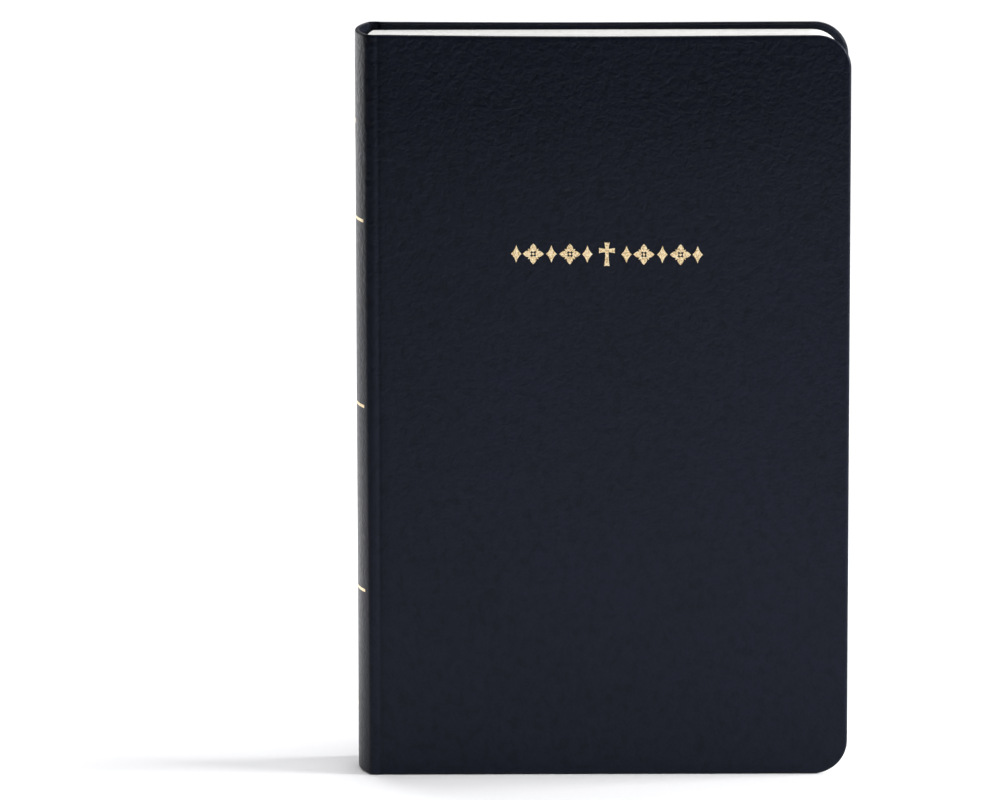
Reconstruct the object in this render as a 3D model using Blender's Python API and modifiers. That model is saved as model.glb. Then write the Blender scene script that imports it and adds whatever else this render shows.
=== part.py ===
"""A standing, limp-bound gift Bible, built as its binder makes it.

Frame: metres, +Z up, the book stands on the tail edges of its covers.
The front cover faces -Y, the spine is at -X, the fore-edge at +X.
The origin is the bottom centre of the whole book.
"""
import math
import bpy
import bmesh
from mathutils import Matrix, Vector

MM = 0.001

# ---------------------------------------------------------------- dimensions
WIDTH = 136.4            # spine crown to fore-edge of the covers
HEIGHT = 209.6           # covers, tail to head
THICK = 22.0             # outside of front cover to outside of rear cover
SQUARE = 2.1             # how far the covers stand out past the leaves
CORNER_R = 9.5           # round fore-edge corners of the covers
LEAF_CORNER_R = 8.0      # round fore-edge corners of the leaves

X_FORE = WIDTH / 2.0
X_CROWN = -WIDTH / 2.0
Y_OUT = THICK / 2.0

SKIN_T = 0.55            # imitation leather
SPINE_R = 18.6           # outside radius of the rounded spine
SPINE_CX = X_CROWN + SPINE_R
SPINE_FILLET = 0.6       # where the spine turns into a cover
INLAY_R0, INLAY_R1 = 17.50, 18.00
FLAP_R0, FLAP_R1 = 17.10, 17.45
LINING_HALF = 8.9        # half width of the spine inlay and its turned-in leather

HINGE_X = -64.15         # the line that each cover folds on
HINGE_Y = Y_OUT + 0.05
HINGE_GAP = 0.05

COVER_T = 1.57           # leather, board and turned-in leather
BOARD_W0, BOARD_W1 = 0.60, 1.14
FLAP_W0 = 1.19
JOINT_THIN = 1.5         # only leather crosses the joint
BOARD_S0 = 3.0           # the board starts here, measured from the fold line
TURN_IN = 12.0
FLANGE_W0, FLANGE_W1, FLANGE_S1 = 1.25, 1.50, 22.0
PASTE_W0, PASTE_W1 = 1.62, 1.77

FLY_Y0, FLY_Y1 = 9.03, 9.15        # free endpapers, distance from the middle
LEAF_Y0, LEAF_Y1 = 8.89, 8.97      # outermost printed leaves
FLY_X0 = -62.55
BLOCK_X0 = -63.2                   # back of the outermost gathering
BLOCK_HALF = 8.83                  # half thickness of the gatherings
BLOCK_SWELL = 1.5                  # how far the back is rounded
BLOCK_WIDTH = 129.3
BLOCK_MID_GAP = 0.03
SIGNATURES = 16
SIG_GAP = 0.06
BLOCK_R = (BLOCK_HALF ** 2 + BLOCK_SWELL ** 2) / (2.0 * BLOCK_SWELL)
BLOCK_CX = BLOCK_X0 - BLOCK_SWELL + BLOCK_R

SIG_PIVOT_X = -63.9                # fold line shared by half of the gatherings
LEAF_PIVOT = (-63.9, 10.05)

TITLE_X, TITLE_Z = 1.1, 148.15     # centre of the gilt ornament row
TITLE_TILT = math.radians(0.45)
FOIL_W0, FOIL_W1, FOIL_POCKET = 0.03, 0.15, 0.20
LINE_Z = (HEIGHT * 0.75, HEIGHT * 0.50, HEIGHT * 0.25)
LINE_H = 0.8
SPINE_CROSS_Z = 183.0
SPINE_LOZENGE_Z = 18.6

# ------------------------------------------------------------------ the scene
for ob in list(bpy.data.objects):
    bpy.data.objects.remove(ob, do_unlink=True)

book = bpy.data.collections.new("bible")
bpy.context.scene.collection.children.link(book)
cutters = bpy.data.collections.new("cutters")
bpy.context.scene.collection.children.link(cutters)


def material(name, colour, rough, metal=0.0):
    mat = bpy.data.materials.new(name)
    mat.use_nodes = True
    bsdf = mat.node_tree.nodes["Principled BSDF"]
    bsdf.inputs["Base Color"].default_value = (*colour, 1.0)
    bsdf.inputs["Roughness"].default_value = rough
    bsdf.inputs["Metallic"].default_value = metal
    mat.diffuse_color = (*colour, 1.0)
    return mat


LEATHER = material("imitation_leather", (0.013, 0.016, 0.022), 0.48)
BOARD = material("cover_board", (0.33, 0.29, 0.23), 0.9)
PAPER = material("bible_paper", (0.80, 0.79, 0.75), 0.85)
ENDPAPER = material("endpaper", (0.72, 0.71, 0.67), 0.8)
KRAFT = material("kraft_paper", (0.36, 0.24, 0.13), 0.85)
CLOTH = material("mull_cloth", (0.62, 0.58, 0.50), 0.95)
GLUE = material("binding_glue", (0.70, 0.62, 0.42), 0.4)
GOLD = material("gold_foil", (0.66, 0.54, 0.36), 0.32, 1.0)


def own(mat, name):
    """Each piece has a material of its own, named for the piece."""
    copy = mat.copy()
    copy.name = name
    return copy


# ------------------------------------------------------------ shape functions
def arc(cx, cy, r, a0, a1, n):
    return [(cx + r * math.cos(a0 + (a1 - a0) * i / n),
             cy + r * math.sin(a0 + (a1 - a0) * i / n)) for i in range(n + 1)]


def page_outline(x0, x1, z0, z1, r, n=7):
    """Square at the spine side, round at the two fore-edge corners."""
    pts = [(x0, z0)]
    pts += arc(x1 - r, z0 + r, r, -math.pi / 2, 0.0, n)
    pts += arc(x1 - r, z1 - r, r, 0.0, math.pi / 2, n)
    pts += [(x0, z1)]
    return pts


def rect(x0, x1, z0, z1):
    return [(x0, z0), (x1, z0), (x1, z1), (x0, z1)]


def flat_curve(name, pts, half):
    cu = bpy.data.curves.new(name, "CURVE")
    cu.dimensions = "2D"
    cu.fill_mode = "BOTH"
    cu.extrude = half
    sp = cu.splines.new("POLY")
    sp.points.add(len(pts) - 1)
    for p, (a, b) in zip(sp.points, pts):
        p.co = (a * MM, b * MM, 0.0, 1.0)
    sp.use_cyclic_u = True
    ob = bpy.data.objects.new(name, cu)
    book.objects.link(ob)
    return ob


def to_mesh(ob, name):
    """The filled curve as a closed mesh with its transform applied."""
    bpy.context.view_layer.update()
    deps = bpy.context.evaluated_depsgraph_get()
    me = bpy.data.meshes.new_from_object(ob.evaluated_get(deps))
    me.name = name
    world = ob.matrix_world.copy()
    data = ob.data
    bpy.data.objects.remove(ob, do_unlink=True)
    bpy.data.curves.remove(data)
    bm = bmesh.new()
    bm.from_mesh(me)
    bmesh.ops.remove_doubles(bm, verts=bm.verts, dist=1e-6)
    bm.transform(world)
    bmesh.ops.recalc_face_normals(bm, faces=bm.faces)
    bm.to_mesh(me)
    bm.free()
    out = bpy.data.objects.new(name, me)
    book.objects.link(out)
    return out


def slab_y(name, pts, y0, y1):
    """An outline in X and Z, y0 to y1 thick."""
    ob = flat_curve(name, pts, abs(y1 - y0) / 2 * MM)
    ob.rotation_euler = (math.pi / 2, 0.0, 0.0)
    ob.location = (0.0, (y0 + y1) / 2 * MM, 0.0)
    return to_mesh(ob, name)


def slab_z(name, pts, z0, z1):
    """An outline in X and Y, z0 to z1 tall."""
    ob = flat_curve(name, pts, abs(z1 - z0) / 2 * MM)
    ob.location = (0.0, 0.0, (z0 + z1) / 2 * MM)
    return to_mesh(ob, name)


def slab_x(name, pts, x0, x1):
    """An outline in Y and Z, x0 to x1 thick."""
    ob = flat_curve(name, pts, abs(x1 - x0) / 2 * MM)
    ob.rotation_euler = (math.pi / 2, 0.0, math.pi / 2)
    ob.location = ((x0 + x1) / 2 * MM, 0.0, 0.0)
    return to_mesh(ob, name)


def cutter(ob):
    book.objects.unlink(ob)
    cutters.objects.link(ob)
    ob.hide_render = True
    ob.display_type = "WIRE"
    return ob


def cut(ob, tool, op="DIFFERENCE"):
    mod = ob.modifiers.new("cut", "BOOLEAN")
    mod.operation = op
    mod.solver = "EXACT"
    mod.object = cutter(tool)
    return mod


def bevel(ob, width, segments):
    mod = ob.modifiers.new("rounded_edges", "BEVEL")
    mod.width = width * MM
    mod.segments = segments
    mod.limit_method = "ANGLE"
    mod.angle_limit = math.radians(40)
    return mod


def set_origin(ob, x, y, z=0.0):
    """Puts the object's origin on its fold line, leaving its shape in place."""
    ob.data.transform(Matrix.Translation((-x * MM, -y * MM, -z * MM)))
    ob.location = (x * MM, y * MM, z * MM)


def empty(name, x, y, z=0.0):
    ob = bpy.data.objects.new(name, None)
    ob.empty_display_size = 0.01
    ob.location = (x * MM, y * MM, z * MM)
    book.objects.link(ob)
    return ob


def attach(ob, parent):
    ob.parent = parent
    ob.matrix_parent_inverse = Matrix.Translation(-Vector(parent.location))


def finish(ob, mat):
    ob.data.materials.clear()
    ob.data.materials.append(own(mat, ob.name))
    return ob


def band(cx, r0, r1, half, n=18):
    """A crescent of even thickness that bulges to -X."""
    def side(r, rev):
        pts = []
        for i in range(n + 1):
            y = -half + 2.0 * half * i / n
            pts.append((cx - math.sqrt(r * r - y * y), y))
        return pts[::-1] if rev else pts
    return side(r1, False) + side(r0, True)


# --------------------------------------------------------------- spine, fixed
spine_axis = empty("spine_root", 0.0, 0.0)


def spine_profile():
    """Leather round the spine, thicker where it is turned in over the inlay."""
    a_end = math.atan2(-Y_OUT, -64.6 - SPINE_CX)
    # the flat start, the small rounding, and the arc of the spine
    outer = [(HINGE_X - HINGE_GAP, -Y_OUT)]
    fr = SPINE_FILLET
    # centre of the fillet: inside the arc by fr and inside the flat by fr
    fy = -Y_OUT + fr
    fx = SPINE_CX - math.sqrt((SPINE_R - fr) ** 2 - fy ** 2)
    a1 = math.atan2(fy, fx - SPINE_CX)
    outer += arc(fx, fy, fr, -math.pi / 2, a1 if a1 < 0 else a1 - 2 * math.pi, 4)
    y_arc = SPINE_R * math.sin(a1)
    n = 26
    for i in range(1, n):
        y = y_arc + (-2.0 * y_arc) * i / n
        outer.append((SPINE_CX - math.sqrt(SPINE_R ** 2 - y * y), y))
    outer += [(x, -y) for x, y in outer[:6]][::-1]
    r = SPINE_R - SKIN_T
    yi = Y_OUT - SKIN_T
    inner = [(HINGE_X - HINGE_GAP, yi)]
    ys = [yi, (yi + LINING_HALF) / 2, LINING_HALF]
    inner += [(SPINE_CX - math.sqrt(r * r - y * y), y) for y in ys]
    m = 20
    for i in range(m + 1):
        y = LINING_HALF - 2.0 * LINING_HALF * i / m
        inner.append((SPINE_CX - math.sqrt(FLAP_R0 ** 2 - y * y), y))
    inner += [(SPINE_CX - math.sqrt(r * r - y * y), -y) for y in ys[::-1]]
    inner.append((HINGE_X - HINGE_GAP, -yi))
    return outer + inner


spine_skin = slab_z("spine_skin", spine_profile(), 0.0, HEIGHT)
cut(spine_skin, slab_z("inlay_pocket", band(SPINE_CX, FLAP_R1, SPINE_R - SKIN_T, LINING_HALF - 0.25, 20),
                       SKIN_T, HEIGHT - SKIN_T))
cut(spine_skin, slab_z("spine_window", band(SPINE_CX, FLAP_R0 - 0.6, FLAP_R1 + 0.1, LINING_HALF + 0.2, 20),
                       TURN_IN, HEIGHT - TURN_IN))

spine_inlay = slab_z("spine_inlay", band(SPINE_CX, INLAY_R0, INLAY_R1, LINING_HALF - 0.4, 20),
                     SKIN_T + 0.1, HEIGHT - SKIN_T - 0.1)
spine_glue = slab_z("spine_glue", band(BLOCK_CX, BLOCK_R + 0.05, BLOCK_R + 0.25, 8.75), SQUARE + 0.4, HEIGHT - SQUARE - 0.4)
mull = slab_z("mull", band(BLOCK_CX, BLOCK_R + 0.30, BLOCK_R + 0.55, 8.75), 14.0, HEIGHT - 14.0)
kraft = slab_z("kraft_liner", band(BLOCK_CX, BLOCK_R + 0.60, BLOCK_R + 0.85, 8.70), 3.0, HEIGHT - 3.0)
finish(spine_skin, LEATHER)
finish(spine_inlay, BOARD)
finish(spine_glue, GLUE)
finish(mull, CLOTH)
finish(kraft, KRAFT)


# gilt work on the spine: thin foil curved with it, each in a shallow groove
def cross_outline(cx, cz, w, h, arm, grow=0.0):
    a = arm / 2.0 + grow
    hw, hh = w / 2.0 + grow, h / 2.0 + grow
    bar = cz + h * 0.16
    return [(cx - a, cz - hh), (cx + a, cz - hh), (cx + a, bar - a), (cx + hw, bar - a),
            (cx + hw, bar + a), (cx + a, bar + a), (cx + a, cz + hh), (cx - a, cz + hh),
            (cx - a, bar + a), (cx - hw, bar + a), (cx - hw, bar - a), (cx - a, bar - a)]


def lozenge_outline(cx, cz, w, h, grow=0.0):
    return [(cx, cz - h / 2 - grow), (cx + w / 2 + grow, cz), (cx, cz + h / 2 + grow), (cx - w / 2 - grow, cz)]


def floret_outline(cx, cz, r, grow=0.0, n=32):
    pts = []
    for i in range(n):
        a = 2 * math.pi * i / n
        rr = r * (0.74 + 0.26 * math.cos(4 * a)) + grow
        pts.append((cx + rr * math.cos(a), cz + rr * math.sin(a)))
    return pts


def spine_foil(name, outline_of):
    foil = slab_x(name, outline_of(0.0), X_CROWN - 2.0, X_CROWN + 4.0)
    cut(foil, slab_z(name + "_leaf", band(SPINE_CX, SPINE_R - 0.15, SPINE_R - 0.03, 10.2, 26), 2.0, HEIGHT - 2.0),
        "INTERSECT")
    groove = slab_x(name + "_groove", outline_of(0.05), X_CROWN - 2.0, X_CROWN + 4.0)
    cut(groove, slab_z(name + "_depth", band(SPINE_CX, SPINE_R - FOIL_POCKET, SPINE_R + 1.0, 10.3, 24),
                       1.0, HEIGHT - 1.0), "INTERSECT")
    cut(spine_skin, groove)
    return finish(foil, GOLD)


foils = []
for label, z in zip(("top", "middle", "bottom"), LINE_Z):
    foils.append(spine_foil("gilt_line_" + label,
                            lambda g, z=z: rect(-8.7 - g, 8.7 + g, z - LINE_H / 2 - g, z + LINE_H / 2 + g)))
foils.append(spine_foil("gilt_spine_cross",
                        lambda g: cross_outline(0.0, SPINE_CROSS_Z, 5.2, 7.6, 1.1, g)))
foils.append(spine_foil("gilt_spine_lozenge",
                        lambda g: lozenge_outline(0.05, SPINE_LOZENGE_Z, 4.3, 6.3, g)))

for ob in [spine_skin, spine_inlay, spine_glue, mull, kraft] + foils:
    attach(ob, spine_axis)


# ------------------------------------------------------------------ the covers
def cover(side):
    """side -1 is the front cover, +1 the rear. w runs inward from the outside."""
    tag = "front" if side < 0 else "rear"

    def y_of(w):
        return side * (Y_OUT - w)

    hinge = empty(tag + "_cover_hinge", HINGE_X, side * HINGE_Y)
    s0 = HINGE_X
    skin = slab_y(tag + "_cover_skin", page_outline(s0 - 2.0, X_FORE, 0.0, HEIGHT, CORNER_R, 8),
                  y_of(0.0), y_of(COVER_T))
    bevel(skin, 0.42, 2)
    cut(skin, slab_y(tag + "_hinge_trim", rect(s0 - 4.0, s0 + HINGE_GAP, -2, HEIGHT + 2), y_of(-1.0), y_of(3.0)))
    cut(skin, slab_y(tag + "_joint_thin", rect(s0 - 4.5, s0 + JOINT_THIN, -3, HEIGHT + 3), y_of(SKIN_T), y_of(4.0)))
    cut(skin, slab_y(tag + "_window", page_outline(s0 + 0.93, X_FORE - TURN_IN, TURN_IN, HEIGHT - TURN_IN, 3.0, 4),
                     y_of(1.02), y_of(2.5)))
    cut(skin, slab_y(tag + "_board_pocket",
                     page_outline(s0 + 0.8, X_FORE - SKIN_T - 0.05, SKIN_T + 0.05, HEIGHT - SKIN_T - 0.05,
                                  CORNER_R - SKIN_T - 0.05, 8), y_of(SKIN_T + 0.02), y_of(FLAP_W0)))
    finish(skin, LEATHER)
    board = finish(slab_y(tag + "_cover_board",
                          page_outline(s0 + BOARD_S0, X_FORE - SKIN_T - 0.15, SKIN_T + 0.15, HEIGHT - SKIN_T - 0.15,
                                       CORNER_R - SKIN_T - 0.15, 8), y_of(BOARD_W0), y_of(BOARD_W1)), BOARD)
    flange = finish(slab_y(tag + "_mull_flange", rect(s0 + 1.7, s0 + FLANGE_S1, 14.0, HEIGHT - 14.0),
                           y_of(FLANGE_W0), y_of(FLANGE_W1)), CLOTH)
    paste = finish(slab_y(tag + "_pastedown",
                          page_outline(s0 + 1.6, X_FORE - 2.6, 2.6, HEIGHT - 2.6, 7.2),
                          y_of(PASTE_W0), y_of(PASTE_W1)), ENDPAPER)
    for ob in (skin, board, flange, paste):
        set_origin(ob, HINGE_X, side * HINGE_Y)
        attach(ob, hinge)
    return hinge, skin


front_hinge, front_skin = cover(-1)
rear_hinge, rear_skin = cover(+1)


# the gilt row on the front cover: a small cross between florets and lozenges
def turned(pts):
    c, s = math.cos(-TITLE_TILT), math.sin(-TITLE_TILT)
    return [(TITLE_X + (x - TITLE_X) * c - (z - TITLE_Z) * s,
             TITLE_Z + (x - TITLE_X) * s + (z - TITLE_Z) * c) for x, z in pts]


def joined(objects, name):
    """Several separate cutters of one kind, kept as one."""
    bm = bmesh.new()
    for ob in objects:
        bm.from_mesh(ob.data)
        me = ob.data
        bpy.data.objects.remove(ob, do_unlink=True)
        bpy.data.meshes.remove(me)
    me = bpy.data.meshes.new(name)
    bm.to_mesh(me)
    bm.free()
    out = bpy.data.objects.new(name, me)
    book.objects.link(out)
    return out


FLORET_X = (-20.3, -10.2, 10.2, 20.3)
LOZENGE_X = (-25.0, -15.3, -5.4, 5.4, 15.3, 25.0)
shapes = {"gilt_title_cross": lambda g: cross_outline(TITLE_X, TITLE_Z, 4.4, 6.6, 1.15, g)}
for n, x in enumerate(FLORET_X, 1):
    shapes["gilt_floret_%d" % n] = lambda g, x=x: floret_outline(TITLE_X + x, TITLE_Z, 2.9, g)
for n, x in enumerate(LOZENGE_X, 1):
    shapes["gilt_lozenge_%d" % n] = lambda g, x=x: lozenge_outline(TITLE_X + x, TITLE_Z, 3.0, 5.0, g)
pockets = []
for label, shape in shapes.items():
    node = finish(slab_y(label, turned(shape(0.0)), -Y_OUT + FOIL_W0, -Y_OUT + FOIL_W1), GOLD)
    set_origin(node, HINGE_X, -HINGE_Y)
    attach(node, front_hinge)
    pockets.append(slab_y(label + "_pocket", turned(shape(0.05)), -Y_OUT - 1.0, -Y_OUT + FOIL_POCKET))
cut(front_skin, joined(pockets, "gilt_row_pockets"))


# ------------------------------------------------------------------ the leaves
def block_x(y):
    return BLOCK_CX - math.sqrt(BLOCK_R ** 2 - y * y)


def loose_leaf(name, side, x0, y0, y1, pivot, mat):
    axis = empty(name + "_hinge", pivot[0], side * pivot[1])
    ob = finish(slab_y(name, page_outline(x0, X_FORE - SQUARE, SQUARE, HEIGHT - SQUARE, LEAF_CORNER_R),
                       side * y0, side * y1), mat)
    set_origin(ob, pivot[0], side * pivot[1])
    attach(ob, axis)
    return ob


for side, tag in ((-1, "front"), (1, "rear")):
    loose_leaf(tag + "_flyleaf", side, FLY_X0, FLY_Y0, FLY_Y1, (HINGE_X, HINGE_Y), ENDPAPER)
loose_leaf("first_leaf", -1, BLOCK_X0, LEAF_Y0, LEAF_Y1, LEAF_PIVOT, PAPER)
loose_leaf("last_leaf", 1, BLOCK_X0, LEAF_Y0, LEAF_Y1, LEAF_PIVOT, PAPER)

half_count = SIGNATURES // 2
pitch = (BLOCK_HALF - BLOCK_MID_GAP) / half_count
for i in range(SIGNATURES):
    side = -1 if i < half_count else 1
    k = i if side < 0 else SIGNATURES - 1 - i          # 0 is the outermost of its half
    far = BLOCK_HALF - k * pitch
    near = far - pitch + SIG_GAP
    name = "signature_%02d" % (i + 1)
    ob = slab_y(name, page_outline(BLOCK_X0, BLOCK_X0 + BLOCK_WIDTH, SQUARE, HEIGHT - SQUARE, LEAF_CORNER_R),
                side * far, side * near)
    for v in ob.data.vertices:                          # the rounded back and the hollow fore-edge
        v.co.x += (block_x(v.co.y / MM) - BLOCK_X0) * MM
    finish(ob, PAPER)
    axis = empty(name + "_hinge", SIG_PIVOT_X, side * BLOCK_HALF)
    set_origin(ob, SIG_PIVOT_X, side * BLOCK_HALF)
    attach(ob, axis)

# the work reads better with soft shading on the rounded pieces
for ob in book.objects:
    if ob.type == "MESH":
        ob.data.shade_smooth()
        ob.data.set_sharp_from_angle(angle=math.radians(35))
bpy.context.view_layer.update()
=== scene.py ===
import math
import bpy
import bmesh
import numpy as np
from mathutils import Matrix, Vector, noise


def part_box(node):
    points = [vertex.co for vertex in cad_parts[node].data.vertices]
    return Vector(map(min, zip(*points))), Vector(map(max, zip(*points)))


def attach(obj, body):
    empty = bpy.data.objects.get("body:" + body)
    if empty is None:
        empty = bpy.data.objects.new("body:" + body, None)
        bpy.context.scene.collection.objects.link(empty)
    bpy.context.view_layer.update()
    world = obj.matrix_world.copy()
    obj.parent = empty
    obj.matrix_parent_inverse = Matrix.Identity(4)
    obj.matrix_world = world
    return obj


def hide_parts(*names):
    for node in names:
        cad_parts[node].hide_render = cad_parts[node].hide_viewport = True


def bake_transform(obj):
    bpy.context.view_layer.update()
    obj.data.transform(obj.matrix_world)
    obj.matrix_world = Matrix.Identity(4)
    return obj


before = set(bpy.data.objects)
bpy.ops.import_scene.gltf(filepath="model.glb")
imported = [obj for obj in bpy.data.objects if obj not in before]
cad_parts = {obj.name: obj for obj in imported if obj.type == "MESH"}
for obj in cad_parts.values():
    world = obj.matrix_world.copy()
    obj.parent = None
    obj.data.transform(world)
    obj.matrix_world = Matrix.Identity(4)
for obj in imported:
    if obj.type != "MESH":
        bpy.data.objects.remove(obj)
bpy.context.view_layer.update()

MM = 0.001

# ---------------------------------------------------------------- sizes, mm
def mm_box(node):
    lo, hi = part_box(node)
    return [c * 1000 for c in lo], [c * 1000 for c in hi]

(_, Y_FRONT, Z0), (X_FORE, _, Z1) = mm_box("front_cover_skin")
X_CROWN = mm_box("spine_skin")[0][0]
HEIGHT = Z1 - Z0
Y_OUT = -Y_FRONT
SPINE_R = 18.6
SPINE_CX = X_CROWN + SPINE_R
HINGE_X = -64.15
FILLET = 2.0
EDGE_R = 0.78                     # half the thickness of a covered board
CORNER_R = 9.5
SKIN_T, COVER_T = 0.55, 1.57
TURN_IN = 12.0
PAGE_Z0, PAGE_Z1 = mm_box("signature_01")[0][2], mm_box("signature_01")[1][2]
BLOCK_X0 = -63.2
BLOCK_HALF = 8.83
BLOCK_SWELL = 1.5
BLOCK_R = (BLOCK_HALF ** 2 + BLOCK_SWELL ** 2) / (2 * BLOCK_SWELL)
BLOCK_CX = BLOCK_X0 - BLOCK_SWELL + BLOCK_R
PAGE_X1 = mm_box("first_leaf")[1][0]
BLOCK_WIDTH = PAGE_X1 - BLOCK_X0
LEAF_R = 8.0
TITLE_X, TITLE_Z = 1.1, 148.15
TITLE_TILT = math.radians(0.45)
UVS = 0.005                       # UV units per mm

rng = np.random.default_rng(7)


def smooth01(t):
    t = min(1.0, max(0.0, t))
    return t * t * (3 - 2 * t)


# ---------------------------------------------------------------- materials
def new_mat(name):
    mat = bpy.data.materials.new(name)
    mat.use_nodes = True
    nt = mat.node_tree
    nt.nodes.clear()
    out = nt.nodes.new("ShaderNodeOutputMaterial")
    bsdf = nt.nodes.new("ShaderNodeBsdfPrincipled")
    nt.links.new(bsdf.outputs["BSDF"], out.inputs["Surface"])
    return mat, nt, bsdf


def node(nt, kind, **values):
    n = nt.nodes.new(kind)
    for k, v in values.items():
        if k in n.inputs:
            n.inputs[k].default_value = v
        else:
            setattr(n, k, v)
    return n


def math_node(nt, op, a, b=None, c=None, clamp=False):
    n = nt.nodes.new("ShaderNodeMath")
    n.operation = op
    n.use_clamp = clamp
    for i, v in enumerate((a, b, c)):
        if v is None:
            continue
        if isinstance(v, (int, float)):
            n.inputs[i].default_value = v
        else:
            nt.links.new(v, n.inputs[i])
    return n.outputs[0]


def uv_mm(nt, layer="UVMap", sx=1.0, sy=1.0):
    """UV in millimetres, stretched by sx and sy."""
    uv = node(nt, "ShaderNodeUVMap", uv_map=layer)
    m = nt.nodes.new("ShaderNodeMapping")
    m.inputs["Scale"].default_value = (sx / UVS, sy / UVS, 1.0)
    nt.links.new(uv.outputs[0], m.inputs[0])
    return m.outputs[0]


def ramp(nt, fac, stops):
    r = nt.nodes.new("ShaderNodeValToRGB")
    el = r.color_ramp.elements
    while len(el) > 1:
        el.remove(el[-1])
    el[0].position, el[0].color = stops[0][0], (*stops[0][1], 1)
    for p, c in stops[1:]:
        e = el.new(p)
        e.color = (*c, 1)
    nt.links.new(fac, r.inputs[0])
    return r.outputs[0]


def mixed(nt, fac, a, b):
    m = nt.nodes.new("ShaderNodeMix")
    m.data_type = "RGBA"
    nt.links.new(fac, m.inputs[0])
    for sock, v in ((m.inputs[6], a), (m.inputs[7], b)):
        if isinstance(v, tuple):
            sock.default_value = (*v, 1)
        else:
            nt.links.new(v, sock)
    return m.outputs[2]


def bump(nt, height, strength, distance_mm, below=None):
    b = nt.nodes.new("ShaderNodeBump")
    b.inputs["Strength"].default_value = strength
    b.inputs["Distance"].default_value = distance_mm * MM
    nt.links.new(height, b.inputs["Height"])
    if below is not None:
        nt.links.new(below, b.inputs["Normal"])
    return b.outputs[0]


def leather_material():
    mat, nt, bsdf = new_mat("imitation_leather")
    p = uv_mm(nt)
    # small irregular cells with creases between them
    warp = node(nt, "ShaderNodeTexNoise", Scale=0.9, Detail=3.0)
    nt.links.new(p, warp.inputs["Vector"])
    add = nt.nodes.new("ShaderNodeVectorMath")
    add.operation = "MULTIPLY_ADD"
    nt.links.new(warp.outputs["Color"], add.inputs[0])
    add.inputs[1].default_value = (0.9, 0.9, 0.9)
    nt.links.new(p, add.inputs[2])
    cells = node(nt, "ShaderNodeTexVoronoi", feature="SMOOTH_F1", Scale=1.15, Smoothness=0.45)
    nt.links.new(add.outputs[0], cells.inputs["Vector"])
    fine = node(nt, "ShaderNodeTexNoise", Scale=4.2, Detail=4.0, Roughness=0.62)
    nt.links.new(p, fine.inputs["Vector"])
    crinkle = node(nt, "ShaderNodeTexNoise", Scale=0.60, Detail=3.0, Roughness=0.5, Distortion=0.5)
    nt.links.new(p, crinkle.inputs["Vector"])
    wide = node(nt, "ShaderNodeTexNoise", Scale=0.028, Detail=2.0)
    nt.links.new(p, wide.inputs["Vector"])
    streak = node(nt, "ShaderNodeTexNoise", Scale=1.0, Detail=4.0, Roughness=0.6, Distortion=0.5)
    nt.links.new(uv_mm(nt, "UVMap", 0.42, 0.30), streak.inputs["Vector"])
    sep = nt.nodes.new("ShaderNodeSeparateXYZ")
    nt.links.new(p, sep.inputs[0])
    high = ramp(nt, math_node(nt, "DIVIDE", sep.outputs[1], 210.0),
                [(0.0, (0.30, 0.30, 0.30)), (0.45, (0.45, 0.45, 0.45)), (0.85, (1, 1, 1))])
    both = math_node(nt, "MULTIPLY_ADD", streak.outputs["Fac"], 0.5, crinkle.outputs["Fac"])
    n1 = bump(nt, math_node(nt, "MULTIPLY", both, high), 1.0, 0.25)
    n2 = bump(nt, cells.outputs["Distance"], 0.55, 0.06, n1)
    n3 = bump(nt, fine.outputs["Fac"], 0.45, 0.03, n2)
    nt.links.new(n3, bsdf.inputs["Normal"])
    col = ramp(nt, wide.outputs["Fac"], [(0.3, (0.0038, 0.0054, 0.0112)), (0.7, (0.0050, 0.0068, 0.0145))])
    tint = ramp(nt, cells.outputs["Distance"], [(0.05, (0.0028, 0.0038, 0.0076)), (0.75, (0.0066, 0.0086, 0.0178))])
    share = ramp(nt, fine.outputs["Fac"], [(0.3, (0.2, 0.2, 0.2)), (0.75, (0.6, 0.6, 0.6))])
    blotch = ramp(nt, streak.outputs["Fac"], [(0.34, (0.66, 0.68, 0.70)), (0.50, (1, 1, 1)), (0.66, (1.14, 1.14, 1.12))])
    tone = nt.nodes.new("ShaderNodeVectorMath")
    tone.operation = "MULTIPLY"
    nt.links.new(mixed(nt, share, col, tint), tone.inputs[0])
    nt.links.new(blotch, tone.inputs[1])
    nt.links.new(tone.outputs[0], bsdf.inputs["Base Color"])
    rough = ramp(nt, crinkle.outputs["Fac"], [(0.3, (0.34, 0.34, 0.34)), (0.7, (0.42, 0.42, 0.42))])
    nt.links.new(rough, bsdf.inputs["Roughness"])
    bsdf.inputs["Specular IOR Level"].default_value = 0.135
    bsdf.inputs["Specular Tint"].default_value = (0.86, 0.92, 1.0, 1)
    return mat


def gold_material():
    mat, nt, bsdf = new_mat("gold_foil")
    tex = node(nt, "ShaderNodeTexCoord")
    m = nt.nodes.new("ShaderNodeMapping")
    m.inputs["Scale"].default_value = (1000, 1000, 1000)
    nt.links.new(tex.outputs["Object"], m.inputs[0])
    fine = node(nt, "ShaderNodeTexNoise", Scale=2.6, Detail=4.0, Roughness=0.6)
    nt.links.new(m.outputs[0], fine.inputs["Vector"])
    col = ramp(nt, fine.outputs["Fac"], [(0.34, (0.42, 0.27, 0.11)), (0.50, (0.88, 0.68, 0.38)), (0.64, (1.0, 0.90, 0.66))])
    nt.links.new(col, bsdf.inputs["Base Color"])
    rough = ramp(nt, fine.outputs["Fac"], [(0.3, (0.44, 0.44, 0.44)), (0.7, (0.30, 0.30, 0.30))])
    nt.links.new(rough, bsdf.inputs["Roughness"])
    nt.links.new(bump(nt, fine.outputs["Fac"], 0.25, 0.02), bsdf.inputs["Normal"])
    bsdf.inputs["Metallic"].default_value = 0.72
    return mat


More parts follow.
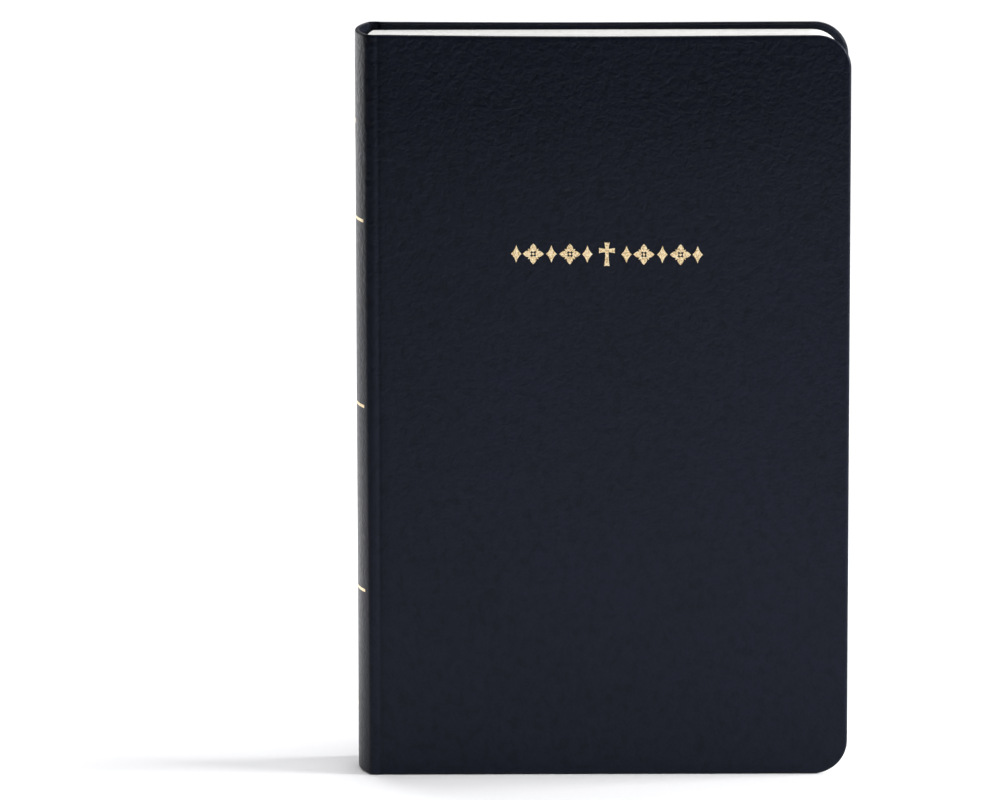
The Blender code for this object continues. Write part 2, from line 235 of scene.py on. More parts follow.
def paper_fibre(nt, p, base, dark, scale=1.0):
    fibre = node(nt, "ShaderNodeTexNoise", Scale=1.6 * scale, Detail=5.0, Roughness=0.65)
    nt.links.new(p, fibre.inputs["Vector"])
    cloud = node(nt, "ShaderNodeTexNoise", Scale=0.10, Detail=3.0)
    nt.links.new(p, cloud.inputs["Vector"])
    a = math_node(nt, "MULTIPLY", fibre.outputs["Fac"], 0.55)
    b = math_node(nt, "MULTIPLY_ADD", cloud.outputs["Fac"], 0.45, a)
    return ramp(nt, b, [(0.3, dark), (0.7, base)]), fibre.outputs["Fac"]


def endpaper_material():
    mat, nt, bsdf = new_mat("endpaper")
    p = uv_mm(nt)
    col, f = paper_fibre(nt, p, (0.80, 0.79, 0.75), (0.71, 0.70, 0.655))
    nt.links.new(col, bsdf.inputs["Base Color"])
    nt.links.new(bump(nt, f, 0.2, 0.03), bsdf.inputs["Normal"])
    bsdf.inputs["Roughness"].default_value = 0.82
    bsdf.inputs["Specular IOR Level"].default_value = 0.3
    return mat


def page_material():
    """Thin paper, with two grey columns of plain bars for its printing."""
    mat, nt, bsdf = new_mat("printed_page")
    p = uv_mm(nt)
    col, f = paper_fibre(nt, p, (0.84, 0.83, 0.79), (0.77, 0.76, 0.715))
    sep = nt.nodes.new("ShaderNodeSeparateXYZ")
    nt.links.new(p, sep.inputs[0])
    x, z = sep.outputs[0], sep.outputs[1]

    def between(v, lo, hi):
        return math_node(nt, "MULTIPLY", math_node(nt, "GREATER_THAN", v, lo), math_node(nt, "LESS_THAN", v, hi))

    x0 = BLOCK_X0
    columns = math_node(nt, "ADD", between(x, x0 + 15.0, x0 + 66.0), between(x, x0 + 69.5, x0 + 120.5))
    body = between(z, PAGE_Z0 + 13.0, PAGE_Z1 - 17.0)
    pitch = 3.05
    row = math_node(nt, "FRACT", math_node(nt, "DIVIDE", z, pitch))
    bar = between(row, 0.30, 0.68)
    # words: breaks along each row, different in every row
    rown = math_node(nt, "FLOOR", math_node(nt, "DIVIDE", z, pitch))
    comb = nt.nodes.new("ShaderNodeCombineXYZ")
    nt.links.new(math_node(nt, "MULTIPLY", x, 0.42), comb.inputs[0])
    nt.links.new(math_node(nt, "MULTIPLY", rown, 7.31), comb.inputs[1])
    words = node(nt, "ShaderNodeTexNoise", Scale=1.0, Detail=1.0)
    nt.links.new(comb.outputs[0], words.inputs["Vector"])
    word = math_node(nt, "GREATER_THAN", words.outputs["Fac"], 0.425)
    texture = node(nt, "ShaderNodeTexNoise", Scale=2.6, Detail=2.0)
    nt.links.new(p, texture.inputs["Vector"])
    tone = math_node(nt, "MULTIPLY_ADD", texture.outputs["Fac"], 0.55, 0.16)
    head = math_node(nt, "MULTIPLY", between(z, PAGE_Z1 - 12.5, PAGE_Z1 - 11.1),
                     math_node(nt, "ADD", between(x, x0 + 15.0, x0 + 37.0), between(x, x0 + 98.5, x0 + 120.5)))
    rule = math_node(nt, "MULTIPLY", between(x, x0 + 67.6, x0 + 67.9), body)
    ink = math_node(nt, "MULTIPLY", math_node(nt, "MULTIPLY", columns, body), math_node(nt, "MULTIPLY", bar, word))
    ink = math_node(nt, "MAXIMUM", ink, math_node(nt, "MAXIMUM", head, rule))
    ink = math_node(nt, "MULTIPLY", ink, tone, clamp=True)
    nt.links.new(mixed(nt, ink, col, (0.10, 0.10, 0.11)), bsdf.inputs["Base Color"])
    nt.links.new(bump(nt, f, 0.15, 0.02), bsdf.inputs["Normal"])
    bsdf.inputs["Roughness"].default_value = 0.74
    bsdf.inputs["Specular IOR Level"].default_value = 0.35
    return mat


def edge_material():
    """Cut edges of hundreds of leaves: fine lines along the leaves."""
    mat, nt, bsdf = new_mat("leaf_edges")
    p = uv_mm(nt, "edge", 0.02, 11.0)
    lines = node(nt, "ShaderNodeTexNoise", Scale=1.0, Detail=4.0, Roughness=0.7)
    nt.links.new(p, lines.inputs["Vector"])
    q = uv_mm(nt, "edge", 0.12, 1.6)
    soft = node(nt, "ShaderNodeTexNoise", Scale=1.0, Detail=3.0)
    nt.links.new(q, soft.inputs["Vector"])
    v = math_node(nt, "MULTIPLY_ADD", soft.outputs["Fac"], 0.4, math_node(nt, "MULTIPLY", lines.outputs["Fac"], 0.6))
    nt.links.new(ramp(nt, v, [(0.30, (0.50, 0.495, 0.485)), (0.42, (0.90, 0.90, 0.895)), (0.62, (0.97, 0.97, 0.97))]),
                 bsdf.inputs["Base Color"])
    nt.links.new(bump(nt, lines.outputs["Fac"], 0.5, 0.06), bsdf.inputs["Normal"])
    bsdf.inputs["Roughness"].default_value = 0.8
    bsdf.inputs["Specular IOR Level"].default_value = 0.25
    return mat


def object_mm(nt, sx=1.0, sy=1.0, sz=1.0):
    tex = node(nt, "ShaderNodeTexCoord")
    m = nt.nodes.new("ShaderNodeMapping")
    m.inputs["Scale"].default_value = (1000 * sx, 1000 * sy, 1000 * sz)
    nt.links.new(tex.outputs["Object"], m.inputs[0])
    return m.outputs[0]


def cloth_material():
    mat, nt, bsdf = new_mat("mull_cloth")
    warp = node(nt, "ShaderNodeTexWave", wave_type="BANDS", bands_direction="Z", Scale=0.42, Distortion=0.6)
    weft = node(nt, "ShaderNodeTexWave", wave_type="BANDS", bands_direction="Y", Scale=0.42, Distortion=0.6)
    for w in (warp, weft):
        nt.links.new(object_mm(nt), w.inputs["Vector"])
    h = math_node(nt, "MAXIMUM", warp.outputs["Fac"], weft.outputs["Fac"])
    nt.links.new(ramp(nt, h, [(0.3, (0.36, 0.33, 0.27)), (0.9, (0.70, 0.66, 0.57))]), bsdf.inputs["Base Color"])
    nt.links.new(bump(nt, h, 0.7, 0.12), bsdf.inputs["Normal"])
    bsdf.inputs["Roughness"].default_value = 0.92
    return mat


def fibre_material(name, a, b, rough, scale=0.5):
    mat, nt, bsdf = new_mat(name)
    f = node(nt, "ShaderNodeTexNoise", Scale=scale, Detail=6.0, Roughness=0.7)
    nt.links.new(object_mm(nt, 1, 1, 0.25), f.inputs["Vector"])
    nt.links.new(ramp(nt, f.outputs["Fac"], [(0.3, a), (0.7, b)]), bsdf.inputs["Base Color"])
    nt.links.new(bump(nt, f.outputs["Fac"], 0.35, 0.06), bsdf.inputs["Normal"])
    bsdf.inputs["Roughness"].default_value = rough
    return mat


LEATHER = leather_material()
GOLD = gold_material()
PAGE = page_material()
EDGE = edge_material()
ENDPAPER = endpaper_material()
CLOTH = cloth_material()
KRAFT = fibre_material("kraft_paper", (0.27, 0.17, 0.09), (0.42, 0.29, 0.17), 0.85)
BOARD = fibre_material("cover_board", (0.26, 0.225, 0.175), (0.38, 0.33, 0.27), 0.9, 0.8)
GLUE = fibre_material("binding_glue", (0.60, 0.53, 0.36), (0.74, 0.67, 0.50), 0.4, 0.3)


# ------------------------------------------------------------ the leather case
X_FLAT = -61.0
X_CREASE = -61.9


def shoulder(z):
    """Radius of the fold between spine and cover: fuller towards the head."""
    return 1.7 + 1.5 * smooth01((z - 20.0) / 150.0)


def build_path(fillet):
    """The outer line of the case in plan, from the crown of the spine to the fore-edge, for the front."""
    pts = []                       # (x, y, nx, ny) with n pointing inward
    fy = -Y_OUT + fillet
    fx = SPINE_CX - math.sqrt((SPINE_R - fillet) ** 2 - fy ** 2)
    a1 = math.atan2(fy, fx - SPINE_CX)
    n = 26
    for i in range(n + 1):
        a = -math.pi + (a1 + math.pi) * i / n
        c, s = math.cos(a), math.sin(a)
        pts.append((SPINE_CX + SPINE_R * c, SPINE_R * s, -c, -s))
    m = 10
    for i in range(1, m + 1):
        a = a1 + (-math.pi / 2 - a1) * i / m
        c, s = math.cos(a), math.sin(a)
        pts.append((fx + fillet * c, fy + fillet * s, -c, -s))
    xs = [fx + (X_FLAT - fx) * i / 14 for i in range(1, 15)]
    xs += list(np.linspace(X_FLAT, 56.15, 62)[1:])
    xs += [56.25, 57.5]
    xs += list(np.linspace(X_FORE - CORNER_R, X_FORE - EDGE_R, 13))
    for x in xs:
        pts.append((x, -Y_OUT, 0.0, 1.0))
    u, out = 0.0, []
    for k, q in enumerate(pts):
        if k:
            u += math.hypot(q[0] - pts[k - 1][0], q[1] - pts[k - 1][1])
        out.append((u, *q))
    return np.array(out)


FOLDS = np.linspace(1.7, 3.2, 13)
PATHS = np.array([build_path(f) for f in FOLDS])
N_U = PATHS.shape[1]
path_cache = {}


def path_row(z):
    key = round(z, 3)
    if key not in path_cache:
        t = (shoulder(z) - FOLDS[0]) / (FOLDS[1] - FOLDS[0])
        k = min(int(t), len(FOLDS) - 2)
        path_cache[key] = PATHS[k] + (PATHS[k + 1] - PATHS[k]) * (t - k)
    return path_cache[key]


def path_at(u, z):
    """Outer point and inward normal in plan at path length u."""
    row = path_row(z)
    x, y, nx, ny = (np.interp(u, row[:, 0], row[:, k]) for k in (1, 2, 3, 4))
    ln = math.hypot(nx, ny)
    return float(x), float(y), float(nx) / ln, float(ny) / ln


def u_of_x(x, z):
    row = path_row(z)
    return float(row[-1, 0] + x - row[-1, 1])


def swell(side, u, z, x):
    """How far the leather stands out of its plain surface: slow waves, and the crease of the joint."""
    d = 0.0
    if x > -63.4:
        edge = min(x + 63.4, X_FORE - x, z - Z0, Z1 - z)
        fade = smooth01((edge - 1.5) / 9.0)
        p = Vector((x * 0.021, z * 0.017, 3.7 * side))
        q = Vector((x * 0.060, z * 0.048, 9.1 * side))
        d += fade * (0.10 * noise.noise(p) + 0.035 * noise.noise(q))
        depth = 0.16 + 0.12 * smooth01((140.0 - z) / 90.0)
        d -= depth * math.exp(-((x - X_CREASE) / 0.60) ** 2)
        d += 0.05 * math.exp(-((x - X_CREASE - 1.6) / 0.8) ** 2)
    else:
        p = Vector((u * 0.08 * side, z * 0.02, 1.3))
        edge = min(z - Z0, Z1 - z)
        d += 0.05 * smooth01((edge - 1.0) / 6.0) * smooth01((-63.4 - x) / 1.5) * noise.noise(p)
    return d


def head_dip(side, x, z):
    """The covers' head edges sag a little between the spine and the fore-edge."""
    t = (x + 63.0) / (X_FORE + 63.0)
    if t <= 0:
        return 0.0
    along = math.sin(math.pi / 2 * min(1.0, t / 0.5)) if t < 0.5 else 1.0 - 0.35 * smooth01((t - 0.5) / 0.5)
    return (0.62 if side < 0 else 0.30) * along * smooth01((z - (Z1 - 70)) / 66.0)


def thickness(z, x):
    """How thick the leather is: single inside the turned-in border, and a whole cover at the border."""
    border = z < Z0 + TURN_IN or z > Z1 - TURN_IN or x > 56.2
    if not border:
        return SKIN_T
    if x < -64.6:
        return 1.5 + (0.80 - 1.5) * smooth01((x + 66.2) / 1.6)
    if x < -62.0:
        return 0.80
    return 0.80 + (COVER_T - 0.80) * smooth01((x + 62.0) / 1.2)


def z_lines():
    r = CORNER_R
    zs = list(np.linspace(Z0 + EDGE_R, Z0 + r, 13))
    zs += [Z0 + 10.8, Z0 + TURN_IN - 0.05, Z0 + TURN_IN + 0.05]
    zs += list(np.linspace(Z0 + TURN_IN + 2.3, Z1 - TURN_IN - 2.3, 80))
    zs += [Z1 - TURN_IN - 0.05, Z1 - TURN_IN + 0.05, Z1 - 10.8]
    zs += list(np.linspace(Z1 - r, Z1 - EDGE_R, 13))
    return np.array(zs)


def disc_map(a, b):
    """A unit square to a quarter disc."""
    return a * math.sqrt(1 - b * b / 2), b * math.sqrt(1 - a * a / 2)


def leather_half(side, name):
    zs = z_lines()
    nu, nz = N_U, len(zs)
    r_in = CORNER_R - EDGE_R
    xc = X_FORE - CORNER_R
    verts, uvs, faces = [], [], []

    def place(i, j):
        """(u, x, y, nx, ny, z) of a grid point, with the fore-edge corners rounded."""
        z = zs[j]
        u, x, y, nx, ny = path_row(z)[i]
        if x > xc + 1e-6 and (z < Z0 + CORNER_R - 1e-6 or z > Z1 - CORNER_R + 1e-6):
            zc = Z0 + CORNER_R if z < Z0 + CORNER_R else Z1 - CORNER_R
            sg = -1 if z < Z0 + CORNER_R else 1
            a, b = (x - xc) / r_in, abs(z - zc) / r_in
            da, db = disc_map(a, b)
            x, z = xc + da * r_in, zc + sg * db * r_in
            u = u_of_x(x, zs[j])
        return u, x, y, nx, ny, z

    def sag(x, z):
        return z - head_dip(side, x, z)

    grid = {}
    for layer in (0, 1):
        for i in range(nu):
            for j in range(nz):
                u, x, y, nx, ny, z = place(i, j)
                d = -swell(side, u, z, x)
                depth = d if layer == 0 else thickness(z, x)
                px, py = x + nx * depth, y + ny * depth
                grid[layer, i, j] = len(verts)
                verts.append((px, py * (1 if side < 0 else -1), sag(x, z)))
                uvs.append((u * -side, z + (0 if layer == 0 else 240)))
    for i in range(nu - 1):
        for j in range(nz - 1):
            q = [grid[0, i, j], grid[0, i + 1, j], grid[0, i + 1, j + 1], grid[0, i, j + 1]]
            faces.append(q)
            q = [grid[1, i, j], grid[1, i, j + 1], grid[1, i + 1, j + 1], grid[1, i + 1, j]]
            faces.append(q)
    # the folded border: tail, fore-edge, head
    loop = [(i, 0) for i in range(nu)] + [(nu - 1, j) for j in range(1, nz)] + [(i, nz - 1) for i in range(nu - 2, -1, -1)]
    K = 8
    rings = []
    for (i, j) in loop:
        u, x, y, nx, ny, z = place(i, j)
        bx, bz = 0.0, 0.0
        if x > xc + 1e-6 and (z < Z0 + CORNER_R - 1e-6 or z > Z1 - CORNER_R + 1e-6):
            zc = Z0 + CORNER_R if z < Z0 + CORNER_R else Z1 - CORNER_R
            ln = math.hypot(x - xc, z - zc)
            bx, bz = (x - xc) / ln, (z - zc) / ln
        elif i == nu - 1 and 0 < j < nz - 1:
            bx = 1.0
        else:
            bz = -1.0 if j == 0 else 1.0
        d0 = -swell(side, u, z, x)
        d1 = thickness(z, x)
        ring = [grid[0, i, j]]
        for k in range(1, K):
            a = math.pi * k / K
            depth = d0 + (d1 - d0) * (1 - math.cos(a)) / 2
            out = EDGE_R * math.sin(a)
            ring.append(len(verts))
            px, py = x + nx * depth + bx * out, y + ny * depth
            verts.append((px, py * (1 if side < 0 else -1), sag(x, z) + bz * out))
            uvs.append(((u + bx * a * EDGE_R) * -side, z + bz * a * EDGE_R))
        ring.append(grid[1, i, j])
        rings.append(ring)
    for a, b in zip(rings[:-1], rings[1:]):
        for k in range(K):
            faces.append([a[k], a[k + 1], b[k + 1], b[k]])
    # the end at the crown of the spine
    cap = []
    for j in range(nz - 1):
        cap.append([grid[0, 0, j], grid[0, 0, j + 1], grid[1, 0, j + 1], grid[1, 0, j]])
    cap.append(list(rings[0]))
    cap.append(list(rings[-1])[::-1])
    first_cap = len(faces)
    faces += cap

    me = bpy.data.meshes.new(name)
    me.from_pydata([(x * MM, y * MM, z * MM) for x, y, z in verts], [], faces)
    layer = me.uv_layers.new(name="UVMap")
    loops = np.zeros(len(me.loops), int)
    me.loops.foreach_get("vertex_index", loops)
    uv = np.array(uvs)[loops] * UVS
    layer.data.foreach_set("uv", uv.astype(np.float32).ravel())
    bm = bmesh.new()
    bm.from_mesh(me)
    bmesh.ops.recalc_face_normals(bm, faces=bm.faces)
    bm.faces.ensure_lookup_table()
    for f in bm.faces:
        f.smooth = True
    for f in bm.faces[first_cap:]:
        f.smooth = False
        for e in f.edges:
            e.smooth = False
    for e in bm.edges:
        if len(e.link_faces) == 2 and e.calc_face_angle() > math.radians(55):
            e.smooth = False
    bm.to_mesh(me)
    bm.free()
    me.materials.append(LEATHER)
    ob = bpy.data.objects.new(name, me)
    bpy.context.scene.collection.objects.link(ob)
    return ob


for side, tag in ((-1, "front"), (1, "rear")):
    case = leather_half(side, tag + "_leather")
    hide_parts(tag + "_cover_skin", "spine_skin")
    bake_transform(case)


# ----------------------------------------------------------------- gilt work
def wrapped(name, outlines, side, on_spine, body, stands_for, u_step=None):
    """Flat outlines laid on the leather. Outlines are (u or x, z) loops in mm; foil stands 0.02 mm proud."""
    bm = bmesh.new()
    for pts in outlines:
        f = bm.faces.new([bm.verts.new((a, b, 0.0)) for a, b in pts])
    bm.normal_update()
    bmesh.ops.triangulate(bm, faces=bm.faces[:], ngon_method="EAR_CLIP")
    if u_step:
        us = [v.co.x for v in bm.verts]
        a = min(us) + u_step * 0.5
        while a < max(us):
            bmesh.ops.bisect_plane(bm, geom=bm.verts[:] + bm.edges[:] + bm.faces[:], plane_co=(a, 0, 0), plane_no=(1, 0, 0))
            a += u_step
    bmesh.ops.recalc_face_normals(bm, faces=bm.faces)
    for f in bm.faces:
        if f.normal.z < 0:
            f.normal_flip()
    top = bm.faces[:]
    res = bmesh.ops.extrude_face_region(bm, geom=top)
    for v in [g for g in res["geom"] if isinstance(g, bmesh.types.BMVert)]:
        v.co.z = 1.0
    low = [v for v in bm.verts if v.co.z < 0.5]
    bmesh.ops.recalc_face_normals(bm, faces=bm.faces)
    for v in bm.verts:
        a, z, t = v.co.x, v.co.y, v.co.z
        u = a if on_spine else u_of_x(a, z)
        s = side
        if on_spine:
            s = -1 if a <= 0 else 1
            u = abs(a)
        x, y, nx, ny = path_at(u, z)
        depth = -swell(s, u, z, x) + (-0.022 if t > 0.5 else 0.06)
        v.co = Vector(((x + nx * depth) * MM, (y + ny * depth) * MM * (1 if s < 0 else -1), z * MM))
    bmesh.ops.recalc_face_normals(bm, faces=bm.faces)
    me = bpy.data.meshes.new(name)
    bm.to_mesh(me)
    bm.free()
    me.materials.append(GOLD)
    me.shade_smooth()
    me.set_sharp_from_angle(angle=math.radians(35))
    ob = bpy.data.objects.new(name, me)
    bpy.context.scene.collection.objects.link(ob)
    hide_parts(*stands_for)
    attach(ob, body)
    return ob


def turned(pts, cx=TITLE_X, cz=TITLE_Z, a=-TITLE_TILT):
    c, s = math.cos(a), math.sin(a)
    return [(cx + (x - cx) * c - (z - cz) * s, cz + (x - cx) * s + (z - cz) * c) for x, z in pts]


def flared_cross(cx, cz, w, h, arm):
    """A Latin cross with gently flared, hollow-ended arms."""
    bar = cz + h * 0.16
    a = arm / 2
    fl = a * 1.30
    out = []
    n = 8

    def curve(p, q, bow):
        return [(p[0] + (q[0] - p[0]) * t + bow[0] * math.sin(math.pi * t),
                 p[1] + (q[1] - p[1]) * t + bow[1] * math.sin(math.pi * t)) for t in [k / n for k in range(n)]]

    bot, top, lef, rig = cz - h / 2, cz + h / 2, cx - w / 2, cx + w / 2
    corners = [
        ((cx - fl, bot), (cx + fl, bot), (0, 0.05)),
        ((cx + fl, bot), (cx + a * 0.8, bar - a * 0.8), (-0.10, 0)),
        ((cx + a * 0.8, bar - a * 0.8), (rig, bar - fl), (0, 0.04)),
        ((rig, bar - fl), (rig, bar + fl), (-0.05, 0)),
        ((rig, bar + fl), (cx + a * 0.8, bar + a * 0.8), (0, -0.04)),
        ((cx + a * 0.8, bar + a * 0.8), (cx + fl, top), (-0.04, 0)),
        ((cx + fl, top), (cx - fl, top), (0, -0.05)),
        ((cx - fl, top), (cx - a * 0.8, bar + a * 0.8), (0.04, 0)),
        ((cx - a * 0.8, bar + a * 0.8), (lef, bar + fl), (0, -0.04)),
        ((lef, bar + fl), (lef, bar - fl), (0.05, 0)),
        ((lef, bar - fl), (cx - a * 0.8, bar - a * 0.8), (0, 0.04)),
        ((cx - a * 0.8, bar - a * 0.8), (cx - fl, bot), (0.10, 0)),
    ]
    for p, q, b in corners:
        out += curve(p, q, b)
    return out


def petal(cx, cz, ang, r0, r1, w, n=10):
    pts = []
    for k in range(n + 1):
        t = k / n
        pts.append((r0 + (r1 - r0) * t, w / 2 * math.sin(math.pi * t ** 0.8) ** 0.9 if 0 < t < 1 else 0.0))
    for k in range(n - 1, 0, -1):
        t = k / n
        pts.append((r0 + (r1 - r0) * t, -w / 2 * math.sin(math.pi * t ** 0.8) ** 0.9))
    c, s = math.cos(ang), math.sin(ang)
    return [(cx + a * c - b * s, cz + a * s + b * c) for a, b in pts]


def disc(cx, cz, r, n=20):
    return [(cx + r * math.cos(2 * math.pi * k / n), cz + r * math.sin(2 * math.pi * k / n)) for k in range(n)]


def hollow_lozenge(cx, cz, w, h, bow=0.24, n=8):
    p = [(cx, cz - h / 2), (cx + w / 2, cz), (cx, cz + h / 2), (cx - w / 2, cz)]
    out = []
    for k in range(4):
        a, b = p[k], p[(k + 1) % 4]
        mx, mz = (a[0] + b[0]) / 2, (a[1] + b[1]) / 2
        ln = math.hypot(mx - cx, mz - cz)
        for i in range(n):
            t = i / n
            s = math.sin(math.pi * t) * bow
            out.append((a[0] + (b[0] - a[0]) * t - (mx - cx) / ln * s, a[1] + (b[1] - a[1]) * t - (mz - cz) / ln * s))
    return out


FLORET_X = (-20.3, -10.2, 10.2, 20.3)
LOZENGE_X = (-25.0, -15.3, -5.4, 5.4, 15.3, 25.0)
wrapped("title_cross", [turned(flared_cross(TITLE_X, TITLE_Z, 4.4, 6.6, 1.15))], -1, False, "front_cover", ["gilt_title_cross"])
for n, dx in enumerate(FLORET_X, 1):
    shapes = [petal(TITLE_X + dx, TITLE_Z, math.pi / 2 * k, 0.55, 2.9, 1.75) for k in range(4)]
    shapes += [petal(TITLE_X + dx, TITLE_Z, math.pi / 2 * k + math.pi / 4, 0.85, 2.05, 0.62) for k in range(4)]
    shapes.append(disc(TITLE_X + dx, TITLE_Z, 0.36))
    wrapped("title_floret_%d" % n, [turned(s) for s in shapes], -1, False, "front_cover", ["gilt_floret_%d" % n])
for n, dx in enumerate(LOZENGE_X, 1):
    wrapped("title_lozenge_%d" % n, [turned(hollow_lozenge(TITLE_X + dx, TITLE_Z, 2.9, 4.9))], -1, False, "front_cover",
            ["gilt_lozenge_%d" % n])

U_LINE = 9.0
for label, z in (("top", HEIGHT * 0.75), ("middle", HEIGHT * 0.5), ("bottom", HEIGHT * 0.25)):
    wrapped("spine_line_" + label, [[(-U_LINE, z - 0.4), (U_LINE, z - 0.4), (U_LINE, z + 0.4), (-U_LINE, z + 0.4)]],
            -1, True, "spine", ["gilt_line_" + label], u_step=0.5)
wrapped("spine_cross", [flared_cross(0.0, 183.0, 5.0, 7.5, 1.2)], -1, True, "spine", ["gilt_spine_cross"], u_step=0.45)
wrapped("spine_lozenge", [hollow_lozenge(0.0, 18.6, 4.2, 6.2)], -1, True, "spine", ["gilt_spine_lozenge"], u_step=0.45)


# -------------------------------------------------------------------- leaves
def block_x(y):
    return BLOCK_CX - math.sqrt(BLOCK_R ** 2 - y * y)


def columns(x0, x1, r, bend=16.0):
    """Where a leaf has its upright lines: close together where it bends and at its round corners."""
    xs = [x0 + bend * (k / 16.0) ** 1.25 for k in range(17)]
    xs += list(np.linspace(x0 + bend, x1 - r, 9)[1:])
    xs += [x1 - r + r * math.sin(math.pi / 2 * k / 9) for k in range(1, 10)]
    return xs


def leaf_solid(bm, uv, euv, x_front, x_rear, width, z0, z1, r, ya, yb, mats=(0, 1)):
    """One leaf or a few together, ya (outer) to yb thick, with a round head and tail corner at the fore-edge."""
    sets = []
    for xo, y in ((x_front, ya), (x_rear, yb)):
        rows = []
        xs = columns(xo, xo + width, r)
        for x in xs:
            d = x - (xo + width - r)
            drop = r - math.sqrt(max(0.0, r * r - d * d)) if d > 0 else 0.0
            rows.append((bm.verts.new((x * MM, y * MM, (z0 + drop) * MM)), bm.verts.new((x * MM, y * MM, (z1 - drop) * MM))))
        sets.append(rows)
    made = []

    def face(vs, mat, along):
        f = bm.faces.new(vs)
        f.material_index = mat
        f.smooth = False
        for lp in f.loops:
            c = lp.vert.co
            lp[uv].uv = (c.x / MM * UVS, c.z / MM * UVS)
            lp[euv].uv = ((c.x if along == "x" else c.z) / MM * UVS, c.y / MM * UVS)
        made.append(f)

    A, B = sets
    for k in range(len(A) - 1):
        face([A[k][0], A[k + 1][0], A[k + 1][1], A[k][1]], mats[0], "x")
        face([B[k][0], B[k][1], B[k + 1][1], B[k + 1][0]], mats[0], "x")
        face([A[k][1], A[k + 1][1], B[k + 1][1], B[k][1]], mats[1], "x")
        face([A[k][0], B[k][0], B[k + 1][0], A[k + 1][0]], mats[1], "x")
    face([A[0][0], A[0][1], B[0][1], B[0][0]], mats[1], "z")
    face([A[-1][0], B[-1][0], B[-1][1], A[-1][1]], mats[1], "z")
    return made


def leaf_object(name, solids, materials, sides=(0, 1)):
    me = bpy.data.meshes.new(name)
    bm = bmesh.new()
    uv = bm.loops.layers.uv.new("UVMap")
    euv = bm.loops.layers.uv.new("edge")
    for s in solids:
        leaf_solid(bm, uv, euv, *s, mats=sides)
    bmesh.ops.recalc_face_normals(bm, faces=bm.faces)
    for e in bm.edges:
        e.smooth = len(e.link_faces) == 2 and e.calc_face_angle() < math.radians(30)
    for f in bm.faces:
        f.smooth = True
    bm.to_mesh(me)
    bm.free()
    for m in materials:
        me.materials.append(m)
    ob = bpy.data.objects.new(name, me)
    bpy.context.scene.collection.objects.link(ob)
    return ob


BUNDLES = 6
for i in range(16):
    cad = "signature_%02d" % (i + 1)
    lo, hi = mm_box(cad)
    side = -1 if i < 8 else 1
    ys = np.linspace(lo[1], hi[1], BUNDLES + 1)
    solids = []
    for b in range(BUNDLES):
        y0, y1 = ys[b] + 0.004, ys[b + 1] - 0.004
        x0, x1 = block_x(y0), block_x(y1)
        dw, dz0, dz1 = rng.normal(0, 0.035, 3)
        solids.append((x0, x1, BLOCK_WIDTH - 0.05 + float(np.clip(dw, -0.09, 0.05)),
                       PAGE_Z0 + 0.03 + abs(float(np.clip(dz0, -0.07, 0.07))),
                       PAGE_Z1 - 0.03 - abs(float(np.clip(dz1, -0.07, 0.07))), LEAF_R, y0, y1))
    ob = leaf_object("gathering_%02d" % (i + 1), solids, [PAGE, EDGE])
    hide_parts(cad)
    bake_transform(ob)

for name, cad, mats, length in (("front_free_endpaper", "front_flyleaf", [ENDPAPER, EDGE], 6.0),
                                ("rear_free_endpaper", "rear_flyleaf", [ENDPAPER, EDGE], 6.0),
                                ("first_printed_leaf", "first_leaf", [PAGE, EDGE], 9.0),
                                ("last_printed_leaf", "last_leaf", [PAGE, EDGE], 9.0)):
    lo, hi = mm_box(cad)
    ob = leaf_object(name, [(lo[0], lo[0], hi[0] - lo[0], PAGE_Z0 + 0.05, PAGE_Z1 - 0.05, LEAF_R, lo[1], hi[1])], mats)
    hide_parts(cad)
    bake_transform(ob)

for side, tag in ((-1, "front"), (1, "rear")):
    cad = tag + "_pastedown"
    lo, hi = mm_box(cad)
    ob = leaf_object(tag + "_board_paper", [(-63.7, -63.7, hi[0] + 63.7, lo[2], hi[2], 7.2, lo[1], hi[1])], [ENDPAPER, EDGE])
    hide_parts(cad)
    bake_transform(ob)

# the pieces whose CAD shape is right keep it, with their real material
for name, mat in (("spine_glue", GLUE), ("mull", CLOTH), ("kraft_liner", KRAFT), ("spine_inlay", BOARD),
                  ("front_cover_board", BOARD), ("rear_cover_board", BOARD),
                  ("front_mull_flange", CLOTH), ("rear_mull_flange", CLOTH)):
    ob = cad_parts[name]
    for s in ob.material_slots:
        s.material = mat
    if not ob.material_slots:
        ob.data.materials.append(mat)


# ------------------------------------------------------------ floor and light
def floor():
    bm = bmesh.new()
    bmesh.ops.create_grid(bm, x_segments=8, y_segments=8, size=6.0)
    me = bpy.data.meshes.new("studio_floor")
    bm.to_mesh(me)
    bm.free()
    mat, nt, bsdf = new_mat("studio_floor")
    bsdf.inputs["Base Color"].default_value = (0.90, 0.90, 0.915, 1)
    bsdf.inputs["Roughness"].default_value = 0.9
    bsdf.inputs["Specular IOR Level"].default_value = 0.1
    me.materials.append(mat)
    ob = bpy.data.objects.new("studio_floor", me)
    ob.location = (0, 0, -0.00003)
    bpy.context.scene.collection.objects.link(ob)


floor()


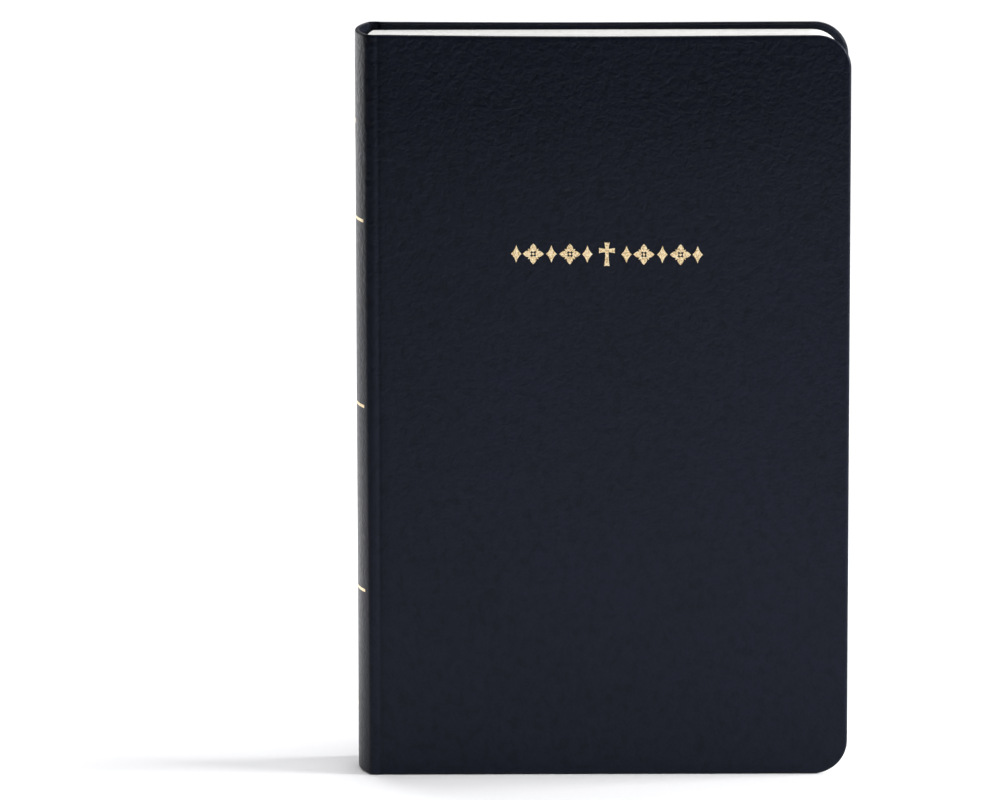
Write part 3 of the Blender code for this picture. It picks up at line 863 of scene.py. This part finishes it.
def area(name, loc, target, size, power, colour=(1, 1, 1), size_y=None):
    li = bpy.data.lights.new(name, "AREA")
    li.energy = power
    li.color = colour
    li.shape = "RECTANGLE"
    li.size = size
    li.size_y = size_y or size
    ob = bpy.data.objects.new(name, li)
    ob.location = loc
    ob.rotation_mode = "QUATERNION"
    ob.rotation_quaternion = (Vector(target) - Vector(loc)).to_track_quat("-Z", "Y")
    ob.visible_camera = False
    bpy.context.scene.collection.objects.link(ob)
    return ob


area("overhead_soft", (0.0, 0.05, 0.88), (0.0, 0.05, 0.0), 1.0, 2.45, size_y=0.9)
area("backdrop_soft", (-0.1, 1.9, 1.6), (-0.1, 1.55, 0.0), 2.8, 40.0, size_y=1.8)
area("right_key", (1.50, -0.07, 0.66), (0.0, 0.0, 0.04), 0.76, 43.0, size_y=0.55)
area("left_back_low", (-0.80, 1.05, 0.14), (0.0, 0.0, 0.10), 1.0, 2.0, size_y=0.24)
area("left_near_patch", (-0.21, 0.20, 0.09), (-0.21, 0.20, 0.0), 0.15, 0.26, size_y=0.20)
area("left_floor_patch", (-0.58, 0.70, 0.26), (-0.58, 0.70, 0.0), 0.6, 2.6, size_y=0.8)
area("front_floor_patch", (0.16, -0.27, 0.19), (0.16, -0.27, 0.0), 0.6, 1.05, size_y=0.26)

world = bpy.data.worlds.new("studio")
bpy.context.scene.world = world
world.use_nodes = True
bg = world.node_tree.nodes["Background"]
bg.inputs["Color"].default_value = (0.95, 0.97, 1.0, 1)
bg.inputs["Strength"].default_value = 0.03

bpy.context.scene.view_settings.view_transform = "Standard"

# ------------------------------------------------------------------ the camera
cam_data = bpy.data.cameras.new("camera")
cam_data.sensor_width = 36.0
cam_data.lens = 322.06
cam = bpy.data.objects.new("camera", cam_data)
bpy.context.scene.collection.objects.link(cam)
yaw, pitch, roll = math.radians(0.146), math.radians(12.435), math.radians(-0.116)
fwd = Vector((math.sin(yaw) * math.cos(pitch), math.cos(yaw) * math.cos(pitch), -math.sin(pitch)))
right = Vector((math.cos(yaw), -math.sin(yaw), 0.0))
up = right.cross(fwd)
right, up = right * math.cos(roll) + up * math.sin(roll), up * math.cos(roll) - right * math.sin(roll)
m = Matrix((right, up, -fwd)).transposed().to_4x4()
m.translation = Vector((-0.0346, -2.4268, 0.6398))
cam.matrix_world = m
cam_data.clip_start, cam_data.clip_end = 0.05, 50.0
bpy.context.scene.camera = cam
